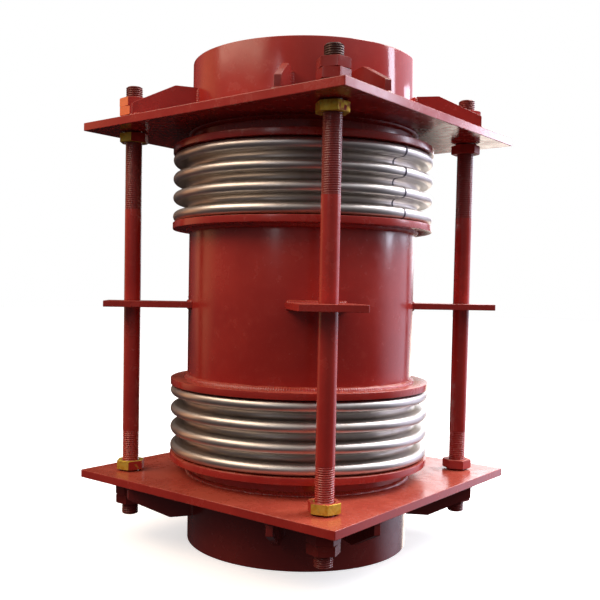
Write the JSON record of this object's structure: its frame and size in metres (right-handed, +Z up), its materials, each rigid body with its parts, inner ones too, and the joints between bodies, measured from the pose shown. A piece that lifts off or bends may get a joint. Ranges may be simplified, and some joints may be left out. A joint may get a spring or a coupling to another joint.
{
  "type": "tied universal expansion joint",
  "caption": "Pipe expansion joint: metal bellows on either side of a short spool, square tie plates on the end pipes, and threaded tie rods that let the ends offset sideways.",
  "frame": {"origin": "centre of the bottom pipe's end face", "axes": "+Z up along the pipe's axis; X and Y run along the sides of the square tie plates, so the tie rods stand on the plates' diagonals"},
  "size_m": [0.5784, 0.5784, 0.868],
  "materials": {
    "oxide_red_paint": "gloss",
    "stainless_steel": "bright",
    "yellow_zinc": "satin"
  },
  "bodies": {
    "bottom_end": {"bottom_end_pipe": "oxide_red_paint", "bottom_end_ring": "oxide_red_paint", "bottom_tie_plate": "oxide_red_paint", "bottom_gusset_right_a": "oxide_red_paint", "bottom_gusset_right_b": "oxide_red_paint", "bottom_gusset_rear_a": "oxide_red_paint", "bottom_gusset_rear_b": "oxide_red_paint", "bottom_gusset_left_a": "oxide_red_paint", "bottom_gusset_left_b": "oxide_red_paint", "bottom_gusset_front_a": "oxide_red_paint", "bottom_gusset_front_b": "oxide_red_paint"},
    "lower_bellows_body": {"lower_bellows": "stainless_steel"},
    "spool": {"spool_pipe": "oxide_red_paint", "spool_lower_ring": "oxide_red_paint", "spool_upper_ring": "oxide_red_paint", "spool_lug_right": "oxide_red_paint", "spool_lug_rear": "oxide_red_paint", "spool_lug_left": "oxide_red_paint", "spool_lug_front": "oxide_red_paint"},
    "upper_bellows_body": {"upper_bellows": "stainless_steel"},
    "top_end": {"top_end_pipe": "oxide_red_paint", "top_end_ring": "oxide_red_paint", "top_tie_plate": "oxide_red_paint", "top_gusset_right_a": "oxide_red_paint", "top_gusset_right_b": "oxide_red_paint", "top_gusset_rear_a": "oxide_red_paint", "top_gusset_rear_b": "oxide_red_paint", "top_gusset_left_a": "oxide_red_paint", "top_gusset_left_b": "oxide_red_paint", "top_gusset_front_a": "oxide_red_paint", "top_gusset_front_b": "oxide_red_paint"},
    "lower_seat_right": {"bottom_seat_washer_right": "oxide_red_paint"},
    "rod_right": {"tie_rod_right": "oxide_red_paint", "bottom_outer_nuts_right": "oxide_red_paint", "bottom_inner_nut_right": "yellow_zinc", "top_inner_nut_right": "yellow_zinc", "top_seat_washer_right": "oxide_red_paint", "top_outer_nuts_right": "oxide_red_paint"},
    "lower_seat_rear": {"bottom_seat_washer_rear": "oxide_red_paint"},
    "rod_rear": {"tie_rod_rear": "oxide_red_paint", "bottom_outer_nuts_rear": "oxide_red_paint", "bottom_inner_nut_rear": "yellow_zinc", "top_inner_nut_rear": "yellow_zinc", "top_seat_washer_rear": "oxide_red_paint", "top_outer_nuts_rear": "oxide_red_paint"},
    "lower_seat_left": {"bottom_seat_washer_left": "oxide_red_paint"},
    "rod_left": {"tie_rod_left": "oxide_red_paint", "bottom_outer_nuts_left": "oxide_red_paint", "bottom_inner_nut_left": "yellow_zinc", "top_inner_nut_left": "yellow_zinc", "top_seat_washer_left": "oxide_red_paint", "top_outer_nuts_left": "oxide_red_paint"},
    "lower_seat_front": {"bottom_seat_washer_front": "oxide_red_paint"},
    "rod_front": {"tie_rod_front": "oxide_red_paint", "bottom_outer_nuts_front": "oxide_red_paint", "bottom_inner_nut_front": "yellow_zinc", "top_inner_nut_front": "yellow_zinc", "top_seat_washer_front": "oxide_red_paint", "top_outer_nuts_front": "oxide_red_paint"}
  },
  "joints": [
    {"name": "spool_tilt_about_y", "type": "hinge", "parent": "bottom_end", "child": "lower_bellows_body", "pos_m": [0, 0, 0.225], "axis": [0, 1, 0], "range_deg": [-3.5, 3.5], "stiffness_Nm_per_rad": 6000, "deforming": ["lower_bellows"]},
    {"name": "spool_tilt_about_x", "type": "hinge", "parent": "lower_bellows_body", "child": "spool", "pos_m": [0, 0, 0.225], "axis": [1, 0, 0], "range_deg": [-3.5, 3.5], "stiffness_Nm_per_rad": 6000, "deforming": ["lower_bellows"]},
    {"name": "top_level_about_x", "type": "hinge", "parent": "spool", "child": "upper_bellows_body", "pos_m": [0, 0, 0.643], "axis": [1, 0, 0], "range_deg": [-3.5, 3.5], "stiffness_Nm_per_rad": 6000, "deforming": ["upper_bellows"]},
    {"name": "top_level_about_y", "type": "hinge", "parent": "upper_bellows_body", "child": "top_end", "pos_m": [0, 0, 0.643], "axis": [0, 1, 0], "range_deg": [-3.5, 3.5], "stiffness_Nm_per_rad": 6000, "deforming": ["upper_bellows"]},
    {"name": "rod_right_about_y", "type": "hinge", "parent": "bottom_end", "child": "lower_seat_right", "pos_m": [0.2185, 0.2185, 0.0865], "axis": [0, 1, 0], "range_deg": [-2.11, 2.11]},
    {"name": "rod_right_about_x", "type": "hinge", "parent": "lower_seat_right", "child": "rod_right", "pos_m": [0.2185, 0.2185, 0.0865], "axis": [1, 0, 0], "range_deg": [-2.11, 2.11]},
    {"name": "rod_rear_about_y", "type": "hinge", "parent": "bottom_end", "child": "lower_seat_rear", "pos_m": [-0.2185, 0.2185, 0.0865], "axis": [0, 1, 0], "range_deg": [-2.11, 2.11]},
    {"name": "rod_rear_about_x", "type": "hinge", "parent": "lower_seat_rear", "child": "rod_rear", "pos_m": [-0.2185, 0.2185, 0.0865], "axis": [1, 0, 0], "range_deg": [-2.11, 2.11]},
    {"name": "rod_left_about_y", "type": "hinge", "parent": "bottom_end", "child": "lower_seat_left", "pos_m": [-0.2185, -0.2185, 0.0865], "axis": [0, 1, 0], "range_deg": [-2.11, 2.11]},
    {"name": "rod_left_about_x", "type": "hinge", "parent": "lower_seat_left", "child": "rod_left", "pos_m": [-0.2185, -0.2185, 0.0865], "axis": [1, 0, 0], "range_deg": [-2.11, 2.11]},
    {"name": "rod_front_about_y", "type": "hinge", "parent": "bottom_end", "child": "lower_seat_front", "pos_m": [0.2185, -0.2185, 0.0865], "axis": [0, 1, 0], "range_deg": [-2.11, 2.11]},
    {"name": "rod_front_about_x", "type": "hinge", "parent": "lower_seat_front", "child": "rod_front", "pos_m": [0.2185, -0.2185, 0.0865], "axis": [1, 0, 0], "range_deg": [-2.11, 2.11]}
  ],
  "couplings": [
    {"joint": "top_level_about_x", "follows": "spool_tilt_about_x", "ratio": -1},
    {"joint": "top_level_about_y", "follows": "spool_tilt_about_y", "ratio": -1},
    {"joint": "rod_right_about_y", "follows": "spool_tilt_about_y", "ratio": 0.60144},
    {"joint": "rod_right_about_x", "follows": "spool_tilt_about_x", "ratio": 0.60144},
    {"joint": "rod_rear_about_y", "follows": "spool_tilt_about_y", "ratio": 0.60144},
    {"joint": "rod_rear_about_x", "follows": "spool_tilt_about_x", "ratio": 0.60144},
    {"joint": "rod_left_about_y", "follows": "spool_tilt_about_y", "ratio": 0.60144},
    {"joint": "rod_left_about_x", "follows": "spool_tilt_about_x", "ratio": 0.60144},
    {"joint": "rod_front_about_y", "follows": "spool_tilt_about_y", "ratio": 0.60144},
    {"joint": "rod_front_about_x", "follows": "spool_tilt_about_x", "ratio": 0.60144}
  ]
}
